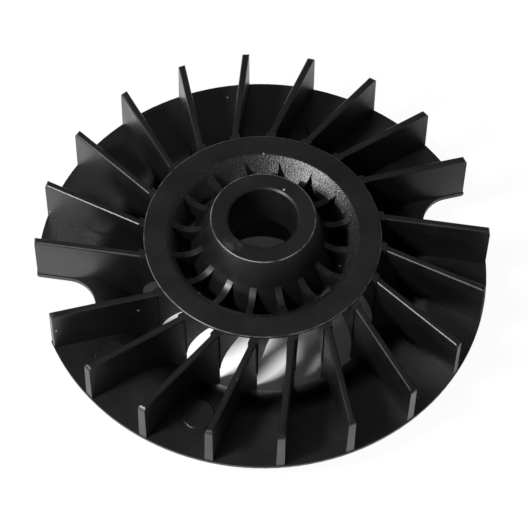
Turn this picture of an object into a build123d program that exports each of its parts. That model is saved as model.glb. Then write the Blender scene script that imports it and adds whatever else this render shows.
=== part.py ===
from build123d import *
from math import asin, cos, degrees, radians, sin, tan
import os

# Sizes are in millimetres. The fan stands on the rim of its inlet throat at z = 0, blades up.

# Hub: each radius is the one inside it plus a named width
bore_radius = 7.5
bore_chamfer = 0.4
hub_rim_width = 3.9
hub_flare = 1.9
hub_foot_flare = 2.9
hub_waist_share = 0.528
hub_waist_round = 14.0
hub_edge_round = 0.4
hub_height = 27.9
hub_foot_level = 2.4
hub_tube_wall = 2.8
socket_radius = 11.2
socket_level = 15.0

# Ribbed dish and its flat ring, which runs out from the hub's foot
bowl_floor_level = 13.7
bowl_floor_width = 1.9
bowl_floor_round = 0.8
bowl_wall_run = 2.0
dish_wall = 1.7
dish_heel_round = 3.0
lip_round = 1.5
ring_width = 5.9
ring_rise = 0.5
ring_wall = 1.3
ring_edge_round = 0.25
ring_rim_flat = 0.15
inside_corner_round = 1.2

# Radial ribs in the bowl, measured down from the ring's face
rib_count = 16
rib_azimuth = 15.2
rib_wall = 1.45
rib_inner_drop = 0.5
rib_saddle_run = 3.2
rib_saddle_drop = 2.2
rib_outer_drop = 0.9
rib_end_setback = 0.3

# Thick inner vanes between the dish and the mould shut-off
vane_wall = 2.15
vane_overhang = 1.2
vane_end_overlap = 0.1
vane_arc_round = 5.75
vane_foot_rise = 0.8
vane_pad_rise = 0.15

# Backing plate, which curves down into the inlet throat
outer_radius = 50.0
plate_level = 8.4
plate_wall = 1.2
plate_edge_round = 0.6
throat_clearance = 0.5
bell_run = 10.3

# Thin outer blades, ten in each half turn, with a wider bay at each notch
blades_per_half = 10
blade_pitch_angle = 17.5
notch_azimuth = 14.43
blade_lean_radius = 8.84
blade_setback = 0.15
blade_top_level = 20.9
blade_foot_level = 0.4
blade_top_wall = 1.55
blade_draft = 0.5
blade_corner_round = 0.9
blade_edge_round = 0.45

# Notches through the plate edge, and round pads on the plate
notch_floor_flat = 1.18
notch_land = 0.15
pad_radius = 3.5
pad_height = 0.4
pad_edge_round = 0.15
pad_inset = 2.1
pad_bays = (0, 6, 8)
pad_shift_angle = -0.6

# How far joined shapes run into each other unseen, and working shapes run past the rim
joint_depth = 1.0
rim_overrun = 5.0

# Radii that follow, from the bore outwards
hub_top_radius = bore_radius + hub_rim_width
hub_waist_radius = hub_top_radius + hub_flare
hub_tube_radius = socket_radius + hub_tube_wall
bowl_floor_inner_radius = hub_waist_radius + hub_foot_flare
bowl_floor_outer_radius = bowl_floor_inner_radius + bowl_floor_width
lip_radius = bowl_floor_outer_radius + bowl_wall_run
ring_radius = lip_radius + ring_width
vane_end_radius = ring_radius + vane_overhang
throat_radius = vane_end_radius + throat_clearance
bell_start_radius = throat_radius + bell_run
notch_bottom_radius = bell_start_radius
pad_centre_radius = bell_start_radius + pad_inset
rib_hub_radius = hub_waist_radius
rib_saddle_radius = rib_hub_radius + rib_saddle_run
rib_lip_radius = lip_radius - rib_end_setback
vane_inner_radius = vane_end_radius - vane_end_overlap
vane_arc_start_radius = vane_inner_radius - vane_arc_round

# Levels that follow
hub_waist_level = bowl_floor_level + hub_waist_share * (hub_height - bowl_floor_level)
dish_low_level = bowl_floor_level - dish_wall
vane_lower_level = dish_low_level + vane_foot_rise
ring_level = blade_top_level + ring_rise
ring_low_level = ring_level - ring_wall
ring_heel_round = ring_wall - ring_edge_round - ring_rim_flat
rib_inner_level = ring_level - rib_inner_drop
rib_saddle_level = ring_level - rib_saddle_drop
rib_outer_level = ring_level - rib_outer_drop

# Angles and rounds that follow
wide_bay_angle = 180.0 - (blades_per_half - 1) * blade_pitch_angle
blade_base_wall = blade_top_wall + 2 * (blade_top_level - plate_level) * sin(radians(blade_draft))
blade_turn = degrees(asin(blade_lean_radius / outer_radius))
bell_round = ((bell_start_radius - throat_radius) ** 2 + plate_level ** 2) / (2 * plate_level)
bell_centre_level = plate_level - bell_round


def blade_tip_angles():
    angles = []
    for half in (0.0, 180.0):
        for step in range(blades_per_half):
            angles.append(notch_azimuth + half - wide_bay_angle / 2 - step * blade_pitch_angle)
    return angles


def bell_point(wall_depth, angle):
    reach = bell_round - wall_depth
    return (bell_start_radius + reach * cos(angle), bell_centre_level + reach * sin(angle))


def bell_arc(wall_depth, low_level):
    # Runs from the plate down to low_level, wall_depth below the flow surface.
    reach = bell_round - wall_depth
    low_angle = radians(180) - asin((low_level - bell_centre_level) / reach)
    top_angle = radians(90)
    top = bell_point(wall_depth, top_angle)
    middle = bell_point(wall_depth, (top_angle + low_angle) / 2)
    low = bell_point(wall_depth, low_angle)
    return ThreePointArc(top, middle, low)


def turned(section):
    return revolve(Plane.XZ * section, axis=Axis.Z)


def rounded_section(corners):
    # Each corner is a radius, a height and a rounding.
    section = make_face(Polyline(*[(radius, level) for radius, level, _ in corners], close=True))
    for radius, level, rounding in corners:
        if rounding > 0:
            corner = section.vertices().sort_by_distance((radius, level, 0))[0]
            section = fillet(corner, rounding)
    return section


def shroud():
    upper = bell_arc(0, 0)
    under = bell_arc(plate_wall, 0)
    low_level = plate_level - plate_wall
    edge_level = low_level + plate_edge_round
    edge_radius = outer_radius - plate_edge_round
    bulge = plate_edge_round * sin(radians(45))
    edge_middle = (edge_radius + bulge, edge_level - bulge)
    lines = [
        upper,
        Line(upper @ 0, (outer_radius, plate_level)),
        Line((outer_radius, plate_level), (outer_radius, edge_level)),
        ThreePointArc((outer_radius, edge_level), edge_middle, (edge_radius, low_level)),
        Line((edge_radius, low_level), under @ 0),
        under,
        Line(under @ 1, upper @ 1),
    ]
    return turned(make_face(lines))


def hub_and_dish():
    corners = [
        (bore_radius, hub_height, 0),
        (hub_top_radius, hub_height, hub_edge_round),
        (hub_waist_radius, hub_waist_level, hub_waist_round),
        (bowl_floor_inner_radius, bowl_floor_level, bowl_floor_round),
        (bowl_floor_outer_radius, bowl_floor_level, bowl_floor_round),
        (lip_radius, ring_level, lip_round),
        (ring_radius, ring_level, ring_edge_round),
        (ring_radius, ring_low_level, ring_heel_round),
        (lip_radius + dish_wall, ring_low_level, inside_corner_round),
        (bowl_floor_outer_radius + dish_wall, dish_low_level, dish_heel_round),
        (hub_tube_radius, dish_low_level, inside_corner_round),
        (hub_tube_radius, hub_foot_level, hub_edge_round),
        (socket_radius, hub_foot_level, hub_edge_round),
        (socket_radius, socket_level, hub_edge_round),
        (bore_radius, socket_level, 0),
    ]
    body = turned(rounded_section(corners))
    rims = [edge for edge in body.edges().filter_by(GeomType.CIRCLE) if abs(edge.radius - bore_radius) < 0.01]
    return chamfer(rims, bore_chamfer)


def blade_frame(tip_angle):
    return Rotation(0, 0, tip_angle - blade_turn)


def blade_slab():
    half_top = blade_top_wall / 2
    half_low = half_top + blade_top_level * sin(radians(blade_draft))
    section = make_face(Polyline(
        (blade_lean_radius - half_low, 0),
        (blade_lean_radius + half_low, 0),
        (blade_lean_radius + half_top, blade_top_level),
        (blade_lean_radius - half_top, blade_top_level),
        close=True,
    ))
    slab = extrude(Plane.YZ * section, outer_radius + rim_overrun)
    top_edges = slab.edges().filter_by(Axis.X).group_by(Axis.Z)[-1]
    return fillet(top_edges, blade_edge_round)


def thin_blade():
    buried = plate_wall / 2
    tip_radius = outer_radius - blade_setback
    buried_level = plate_level - buried
    joint_level = vane_lower_level + joint_depth
    under_ring_radius = ring_radius - joint_depth
    wall = bell_arc(buried, blade_foot_level)
    tip_top_radius = tip_radius - (blade_top_level - plate_level) * sin(radians(blade_draft))
    corner_start = (tip_top_radius, blade_top_level - blade_corner_round)
    corner_end = (tip_top_radius - blade_corner_round, blade_top_level)
    bulge = blade_corner_round * (1 - sin(radians(45)))
    corner_middle = (tip_top_radius - bulge, blade_top_level - bulge)
    lines = [
        wall,
        Line(wall @ 0, (tip_radius, buried_level)),
        Line((tip_radius, buried_level), corner_start),
        ThreePointArc(corner_start, corner_middle, corner_end),
        Line(corner_end, (under_ring_radius, blade_top_level)),
        Line((under_ring_radius, blade_top_level), (under_ring_radius, joint_level)),
        Line((under_ring_radius, joint_level), (vane_inner_radius, joint_level)),
        Line((vane_inner_radius, joint_level), (vane_inner_radius, blade_foot_level)),
        Line((vane_inner_radius, blade_foot_level), wall @ 1),
    ]
    return blade_slab() & turned(make_face(lines))


def thick_vane():
    arc_end_level = vane_lower_level - vane_arc_round
    pad_level = blade_top_level + vane_pad_rise
    ring_middle_level = ring_level - ring_wall / 2
    wall_foot_radius = bowl_floor_outer_radius + 0.7 * dish_wall
    arc_middle = (
        vane_arc_start_radius + vane_arc_round * sin(radians(45)),
        arc_end_level + vane_arc_round * sin(radians(45)),
    )
    arc = ThreePointArc((vane_arc_start_radius, vane_lower_level), arc_middle, (vane_inner_radius, arc_end_level))
    points = [
        arc @ 1,
        (vane_end_radius, arc_end_level),
        (vane_end_radius, pad_level),
        (ring_radius - joint_depth, pad_level),
        (ring_radius - joint_depth, ring_middle_level),
        (lip_radius + dish_wall / 2, ring_middle_level),
        (wall_foot_radius, bowl_floor_level + joint_depth),
        (wall_foot_radius, vane_lower_level),
        arc @ 0,
    ]
    lines = [arc] + [Line(start, end) for start, end in zip(points, points[1:])]
    slab = Box(outer_radius, vane_wall, hub_height, align=(Align.MIN, Align.CENTER, Align.MIN))
    return Pos(0, blade_lean_radius, 0) * slab & turned(make_face(lines))


def bowl_rib():
    buried = dish_wall / 2
    top = ThreePointArc(
        (rib_hub_radius, rib_inner_level),
        (rib_saddle_radius, rib_saddle_level),
        (rib_lip_radius, rib_outer_level),
    )
    low_level = bowl_floor_level - buried
    points = [
        top @ 1,
        (lip_radius + buried, rib_outer_level),
        (bowl_floor_outer_radius + buried, low_level),
        (bowl_floor_inner_radius - joint_depth, low_level),
        (rib_hub_radius - joint_depth, rib_inner_level),
        top @ 0,
    ]
    lines = [top] + [Line(start, end) for start, end in zip(points, points[1:])]
    slab = Box(outer_radius, rib_wall, hub_height, align=(Align.MIN, Align.CENTER, Align.MIN))
    return slab & turned(make_face(lines))


def face_point(tip_angle, side, across_from, reach):
    # A plan point on a blade's side face, at a given reach along the direction across_from.
    offset = blade_lean_radius + side * (blade_base_wall / 2 + notch_land)
    turn = radians(tip_angle - blade_turn - across_from)
    along = (reach + offset * sin(turn)) / cos(turn)
    x = along * cos(turn) - offset * sin(turn)
    y = along * sin(turn) + offset * cos(turn)
    return (x, y)


def notch_cutter(azimuth):
    # Drawn with the notch's middle line along X, then turned into place.
    low_tip = azimuth - wide_bay_angle / 2
    high_tip = azimuth + wide_bay_angle / 2
    far = outer_radius + rim_overrun
    low_in = face_point(low_tip, 1, azimuth, notch_bottom_radius)
    low_out = face_point(low_tip, 1, azimuth, far)
    high_in = face_point(high_tip, -1, azimuth, notch_bottom_radius)
    high_out = face_point(high_tip, -1, azimuth, far)
    low_spread = wide_bay_angle / 2 + blade_turn
    high_spread = wide_bay_angle / 2 - blade_turn
    tangents = tan(radians(45 - low_spread / 2)) + tan(radians(45 - high_spread / 2))
    corner_round = (high_in[1] - low_in[1] - notch_floor_flat) / tangents
    section = make_face(Polyline(low_in, low_out, high_out, high_in, close=True))
    for x, y in (low_in, high_in):
        corner = section.vertices().sort_by_distance((x, y, 0))[0]
        section = fillet(corner, corner_round)
    return Rotation(0, 0, azimuth) * extrude(section, plate_level + joint_depth)


def pads():
    shapes = []
    sink = plate_wall / 2
    offset = blade_lean_radius
    swing = degrees(asin(offset / pad_centre_radius)) - blade_turn
    for half in (0.0, 180.0):
        for bay in pad_bays:
            bay_azimuth = notch_azimuth + half - wide_bay_angle / 2 - (bay + 0.5) * blade_pitch_angle
            azimuth = bay_azimuth + swing + pad_shift_angle
            spot = Rotation(0, 0, azimuth) * Pos(pad_centre_radius, 0, plate_level - sink)
            disc = Cylinder(pad_radius, pad_height + sink, align=(Align.CENTER, Align.CENTER, Align.MIN))
            top_edge = disc.edges().group_by(Axis.Z)[-1]
            shapes.append(spot * fillet(top_edge, pad_edge_round))
    return shapes


def cooling_fan():
    blade = thin_blade()
    vane = thick_vane()
    rib = bowl_rib()
    plate = shroud()
    for half in (0.0, 180.0):
        plate = plate - notch_cutter(notch_azimuth + half)
    growths = [hub_and_dish()] + pads()
    for angle in blade_tip_angles():
        growths.append(blade_frame(angle) * blade)
        growths.append(blade_frame(angle) * vane)
    for step in range(rib_count):
        growths.append(Rotation(0, 0, rib_azimuth + step * 360 / rib_count) * rib)
    return plate.fuse(*growths)


os.makedirs("parts", exist_ok=True)
fan = cooling_fan()
export_step(fan, "parts/cooling_fan.step")
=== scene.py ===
import math

import bpy
from mathutils import Matrix, Vector

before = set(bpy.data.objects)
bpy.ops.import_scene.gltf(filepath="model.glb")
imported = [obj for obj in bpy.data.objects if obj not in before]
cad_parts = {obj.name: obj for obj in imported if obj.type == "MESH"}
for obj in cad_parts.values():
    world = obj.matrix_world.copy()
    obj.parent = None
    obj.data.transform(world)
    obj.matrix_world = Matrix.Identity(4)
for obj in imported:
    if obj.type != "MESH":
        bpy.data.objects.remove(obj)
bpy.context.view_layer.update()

# Real sizes in metres, in the part's own frame: resting rim at z = 0, blades up
MM = 0.001
PLATE_LEVEL = 8.4 * MM
THROAT_RADIUS = 27.7 * MM
BOWL_FLOOR_LEVEL = 13.7 * MM
BOWL_FLOOR_RADIUS = 16.2 * MM
RING_START_RADIUS = 21.3 * MM
RING_RADIUS = 26.0 * MM
RING_LEVEL = 21.4 * MM
HUB_RIM_RADIUS = 11.4 * MM
HUB_LEVEL = 27.9 * MM
# Centre of the painted sheen on the hub's top face
PAINTED_SHEEN_CENTRE = (-6.5 * MM, -7.0 * MM, HUB_LEVEL)

# The photograph's camera, fitted to the disc's rim and the blade tips
CAMERA_PITCH = math.radians(58.317)
CAMERA_ROLL = math.radians(1.4601)
CAMERA_DISTANCE = 480.435 * MM
CAMERA_RIGHT = 0.43 * MM
CAMERA_UP = 0.22 * MM
FOCAL_PIXELS = 2155.5
FRAME_PIXELS = 528


def linear(hex_colour):
    """sRGB hex to the linear colour that shaders use."""
    channels = [int(hex_colour[i:i + 2], 16) / 255 for i in (1, 3, 5)]
    return [c / 12.92 if c <= 0.04045 else ((c + 0.055) / 1.055) ** 2.4 for c in channels] + [1.0]


def add(tree, kind, inputs=None, **settings):
    """Adds a node with its settings; each input is a value or the socket that feeds it."""
    node = tree.nodes.new(kind)
    for name, value in settings.items():
        setattr(node, name, value)
    for name, source in (inputs or {}).items():
        if isinstance(source, bpy.types.NodeSocket):
            tree.links.new(source, node.inputs[name])
        else:
            node.inputs[name].default_value = source
    return node


def empty_material(name):
    material = bpy.data.materials.new(name)
    material.use_nodes = True
    material.node_tree.nodes.clear()
    return material, material.node_tree


def plan_radius(tree, place):
    """Distance of a place from the fan's axis, in metres."""
    flat = add(tree, "ShaderNodeVectorMath", {0: place, 1: (1, 1, 0)}, operation="MULTIPLY")
    return add(tree, "ShaderNodeVectorMath", {0: flat.outputs[0]}, operation="LENGTH").outputs["Value"]


def region(tree, share, *fades):
    """Keeps a share inside a region; each fade is a value, where it keeps none and where it keeps all."""
    for value, none, full in fades:
        fade = {"Value": value, "From Min": none, "From Max": full, "To Max": share}
        share = add(tree, "ShaderNodeMapRange", fade).outputs["Result"]
    return share


def bowl_wall(tree, radius, level, inward):
    """The bowl's outer wall and lip: what faces the axis between the bowl's floor and the ring's flat."""
    normal = add(tree, "ShaderNodeNewGeometry").outputs["Normal"]
    facing = add(tree, "ShaderNodeVectorMath", {0: inward, 1: normal}, operation="DOT_PRODUCT")
    return region(
        tree, 1.0,
        (facing.outputs["Value"], 0.1, 0.3),
        (radius, BOWL_FLOOR_RADIUS, BOWL_FLOOR_RADIUS + 0.4 * MM),
        (radius, RING_START_RADIUS + 0.2 * MM, RING_START_RADIUS),
        (level, BOWL_FLOOR_LEVEL, BOWL_FLOOR_LEVEL + 1.5 * MM),
    )


def dust_and_painted_highlights(tree, place, radius, level, colour):
    """Lays pale dust specks over a colour, with painted highlight lines on the rims and a painted sheen on
    the hub's top.
    """
    # Pale dust specks, half a millimetre across, in about one 4 mm cell of six
    cells = add(tree, "ShaderNodeTexVoronoi", {"Vector": place, "Scale": 230.0})
    pick = add(tree, "ShaderNodeSeparateXYZ", {0: cells.outputs["Color"]}).outputs["X"]
    dust = region(tree, 1.0, (pick, 0.84, 0.85), (cells.outputs["Distance"], 0.07, 0.045))
    dusty = add(tree, "ShaderNodeMix", {0: dust, 6: colour, 7: linear("#9a9a96")}, data_type="RGBA")
    colour = dusty.outputs[2]

    # The painted rim highlights and the painted sheen come in patches of about 2 mm
    patches = add(tree, "ShaderNodeTexNoise", {"Vector": place, "Scale": 420.0, "Detail": 2.0})
    limits = {"Value": patches.outputs["Fac"], "From Min": 0.38, "From Max": 0.55, "To Min": 0.1}
    highlight_patches = add(tree, "ShaderNodeMapRange", limits).outputs["Result"]

    # A broken painted highlight line 0.2 mm wide on the hub's top rim and, half as strong, on the ring's
    # outer rim
    rims = ((HUB_RIM_RADIUS, HUB_LEVEL - 0.7 * MM, 1.0), (RING_RADIUS, RING_LEVEL - 0.35 * MM, 0.5))
    for rim, foot, strength in rims:
        share = add(tree, "ShaderNodeMath", {0: highlight_patches, 1: strength}, operation="MULTIPLY").outputs[0]
        line = region(
            tree, share,
            (radius, rim - 0.22 * MM, rim - 0.16 * MM),
            (radius, rim, rim - 0.06 * MM),
            (level, foot, foot + 0.1 * MM),
        )
        lined = add(tree, "ShaderNodeMix", {0: line, 6: colour, 7: linear("#6e6e6c")}, data_type="RGBA")
        colour = lined.outputs[2]

    # A paler painted sheen, 5 mm across, on the hub's top face
    distance = add(tree, "ShaderNodeVectorMath", {0: place, 1: PAINTED_SHEEN_CENTRE}, operation="DISTANCE")
    painted_sheen = region(tree, highlight_patches, (distance.outputs["Value"], 2.6 * MM, 0.8 * MM))
    with_painted_sheen = add(tree, "ShaderNodeMix", {0: painted_sheen, 6: colour, 7: linear("#303030")}, data_type="RGBA")
    return with_painted_sheen.outputs[2]


def relief(tree, place, radius, level, inward, in_bowl, erosion):
    """The surface's normal with turning marks, orange peel and pits."""
    # Faint turning marks of the mould, 0.8 mm apart, on the outer part of the disc's face
    rings = {"Vector": place, "Scale": 390.0, "Distortion": 1.5, "Detail": 2.0}
    turned = add(tree, "ShaderNodeTexWave", rings, wave_type="RINGS", rings_direction="Z").outputs["Fac"]
    on_disc = region(tree, 0.2, (radius, 38 * MM, 46 * MM), (level, PLATE_LEVEL + 0.3 * MM, PLATE_LEVEL))
    marks = add(tree, "ShaderNodeBump", {"Height": turned, "Strength": on_disc, "Distance": 0.03 * MM})

    # The eroded facets face as a wall at 32 degrees from level would, so the wall catches the lamp
    lean = {0: inward, 1: (0.53, 0.53, 0), 2: (0, 0, 0.85)}
    facet = add(tree, "ShaderNodeVectorMath", lean, operation="MULTIPLY_ADD").outputs[0]
    sides = {0: in_bowl, 4: marks.outputs[0], 5: facet}
    mixed = add(tree, "ShaderNodeMix", sides, data_type="VECTOR").outputs[1]
    base = add(tree, "ShaderNodeVectorMath", {0: mixed}, operation="NORMALIZE").outputs[0]

    # Orange peel of about 0.5 mm everywhere, and the bowl's pits over it
    grain = add(tree, "ShaderNodeTexNoise", {"Vector": place, "Scale": 2200.0, "Detail": 2.0}).outputs["Fac"]
    shallow = {"Height": grain, "Normal": base, "Strength": 0.15, "Distance": 0.05 * MM}
    peel = add(tree, "ShaderNodeBump", shallow).outputs[0]
    deep = {"Height": erosion, "Normal": peel, "Strength": in_bowl, "Distance": 0.1 * MM}
    return add(tree, "ShaderNodeBump", deep).outputs[0]


def moulded_nylon():
    """Glass-filled nylon, injection moulded: near-black satin skin, spark-eroded grain in the bowl."""
    material, tree = empty_material("moulded_glass_filled_nylon")
    place = add(tree, "ShaderNodeTexCoord").outputs["Object"]
    radius = plan_radius(tree, place)
    level = add(tree, "ShaderNodeSeparateXYZ", {0: place}).outputs["Z"]

    # Cloudy fibre bloom, about 10 mm across, which shifts both tint and gloss
    clouds = {"Vector": place, "Scale": 90.0, "Detail": 4.0, "Roughness": 0.6}
    bloom = add(tree, "ShaderNodeTexNoise", clouds).outputs["Fac"]
    tints = {0: bloom, 6: linear("#08080a"), 7: linear("#111112")}
    skin = add(tree, "ShaderNodeMix", tints, data_type="RGBA").outputs[2]
    satin = {"Value": bloom, "From Min": 0.3, "From Max": 0.7, "To Min": 0.3, "To Max": 0.46}
    gloss = add(tree, "ShaderNodeMapRange", satin).outputs["Result"]

    # The bowl's outer wall keeps the mould's eroded grain, drawn at 0.5 mm to be seen
    towards = add(tree, "ShaderNodeVectorMath", {0: place, 1: (-1, -1, 0)}, operation="MULTIPLY").outputs[0]
    inward = add(tree, "ShaderNodeVectorMath", {0: towards}, operation="NORMALIZE").outputs[0]
    in_bowl = bowl_wall(tree, radius, level, inward)
    pitting = {"Vector": place, "Scale": 2200.0, "Detail": 3.0, "Roughness": 0.7}
    erosion = add(tree, "ShaderNodeTexNoise", pitting).outputs["Fac"]
    depths = {0: region(tree, 1.0, (erosion, 0.4, 0.6)), 6: linear("#070708"), 7: linear("#1e1e20")}
    eroded = add(tree, "ShaderNodeMix", depths, data_type="RGBA").outputs[2]
    plain = add(tree, "ShaderNodeMix", {0: in_bowl, 6: skin, 7: eroded}, data_type="RGBA").outputs[2]

    shader = add(tree, "ShaderNodeBsdfPrincipled", {
        # Base colour: the moulded tone with pale dust specks, painted rim highlights and a painted sheen on
        # the hub's top
        "Base Color": dust_and_painted_highlights(tree, place, radius, level, plain),
        "Roughness": add(tree, "ShaderNodeMix", {0: in_bowl, 2: gloss, 3: 0.33}).outputs[0],
        "IOR": 1.53,
        "Normal": relief(tree, place, radius, level, inward, in_bowl, erosion),
    })
    add(tree, "ShaderNodeOutputMaterial", {"Surface": shader.outputs["BSDF"]})
    return material


def paper_floor():
    """Matt white paper sweep; where the camera sees it beside the fan it is lifted to white."""
    material, tree = empty_material("studio_paper")
    ray = add(tree, "ShaderNodeLightPath").outputs
    place = add(tree, "ShaderNodeTexCoord").outputs["Object"]
    edges = {"Value": plan_radius(tree, place), "From Min": THROAT_RADIUS, "From Max": THROAT_RADIUS + 9 * MM,
             "To Min": 0.01, "To Max": 0.96}
    beside = add(tree, "ShaderNodeMapRange", edges).outputs["Result"]

    # Mirrored paper is lifted less than paper that is looked at
    through = {0: ray["Is Glossy Ray"], 1: ray["Is Transmission Ray"]}
    mirrored = add(tree, "ShaderNodeMath", through, operation="MAXIMUM").outputs[0]
    dimmed = add(tree, "ShaderNodeMath", {0: mirrored, 1: 0.3}, operation="MULTIPLY").outputs[0]
    seen = add(tree, "ShaderNodeMath", {0: dimmed, 1: ray["Is Camera Ray"]}, operation="MAXIMUM").outputs[0]
    lift = add(tree, "ShaderNodeMath", {0: seen, 1: beside}, operation="MULTIPLY").outputs[0]

    paper = add(tree, "ShaderNodeBsdfDiffuse", {"Color": linear("#f4f4f4")}).outputs[0]
    white = add(tree, "ShaderNodeEmission", {"Strength": 1.0}).outputs[0]
    mixed = add(tree, "ShaderNodeMixShader", {0: lift, 1: paper, 2: white}).outputs[0]
    add(tree, "ShaderNodeOutputMaterial", {"Surface": mixed})
    return material


def studio_floor():
    half = 3.0
    corners = [(-half, -half, 0), (half, -half, 0), (half, half, 0), (-half, half, 0)]
    mesh = bpy.data.meshes.new("studio_floor")
    mesh.from_pydata(corners, [], [(0, 1, 2, 3)])
    mesh.materials.append(paper_floor())
    floor = bpy.data.objects.new("studio_floor", mesh)
    bpy.context.scene.collection.objects.link(floor)


def studio_world():
    """A dim room, a little brighter where the plastic mirrors it and white where the camera sees it."""
    world = bpy.data.worlds.new("studio_room")
    world.use_nodes = True
    tree = world.node_tree
    tree.nodes.clear()
    ray = add(tree, "ShaderNodeLightPath").outputs
    dim = {0: ray["Is Glossy Ray"], 1: 0.04, 2: 0.12}
    unseen = add(tree, "ShaderNodeMath", dim, operation="MULTIPLY_ADD").outputs[0]
    shown = {0: unseen, 1: ray["Is Camera Ray"]}
    strength = add(tree, "ShaderNodeMath", shown, operation="MAXIMUM").outputs[0]
    room = add(tree, "ShaderNodeBackground", {"Color": linear("#ffffff"), "Strength": strength}).outputs[0]
    add(tree, "ShaderNodeOutputWorld", {"Surface": room})
    bpy.context.scene.world = world


def softbox(name, azimuth, elevation, distance, width, height, power):
    """A rectangular lamp aimed at the fan; azimuth runs from +X towards +Y, in degrees."""
    lamp = bpy.data.lights.new(name, "AREA")
    lamp.shape = "RECTANGLE"
    lamp.size = width
    lamp.size_y = height
    lamp.energy = power
    box = bpy.data.objects.new(name, lamp)
    turn, rise = math.radians(azimuth), math.radians(elevation)
    direction = Vector((math.cos(turn) * math.cos(rise), math.sin(turn) * math.cos(rise), math.sin(rise)))
    box.location = direction * distance
    box.rotation_euler = direction.to_track_quat("Z", "Y").to_euler()
    bpy.context.scene.collection.objects.link(box)


def photo_camera():
    right = Vector((1, 0, 0))
    back = Vector((0, -math.cos(CAMERA_PITCH), math.sin(CAMERA_PITCH)))
    up = Vector((0, math.sin(CAMERA_PITCH), math.cos(CAMERA_PITCH)))
    rolled_right = math.cos(CAMERA_ROLL) * right + math.sin(CAMERA_ROLL) * up
    rolled_up = -math.sin(CAMERA_ROLL) * right + math.cos(CAMERA_ROLL) * up
    place = back * CAMERA_DISTANCE + rolled_right * CAMERA_RIGHT + rolled_up * CAMERA_UP
    place.z += PLATE_LEVEL
    lens = bpy.data.cameras.new("photo_camera")
    lens.sensor_width = 36.0
    lens.lens = 36.0 * FOCAL_PIXELS / FRAME_PIXELS
    camera = bpy.data.objects.new("photo_camera", lens)
    turn = Matrix((rolled_right, rolled_up, back)).transposed().to_4x4()
    camera.matrix_world = Matrix.Translation(place) @ turn
    bpy.context.scene.collection.objects.link(camera)
    bpy.context.scene.camera = camera


bpy.context.scene.view_settings.view_transform = "Standard"
photo_camera()
studio_world()
studio_floor()
softbox("key_softbox", azimuth=-150, elevation=50, distance=1.2, width=0.2, height=0.2, power=20.0)
softbox("low_softbox", azimuth=-136, elevation=20, distance=1.2, width=0.3, height=0.2, power=7.0)

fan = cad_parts["cooling_fan"]
fan.data.materials.clear()
fan.data.materials.append(moulded_nylon())
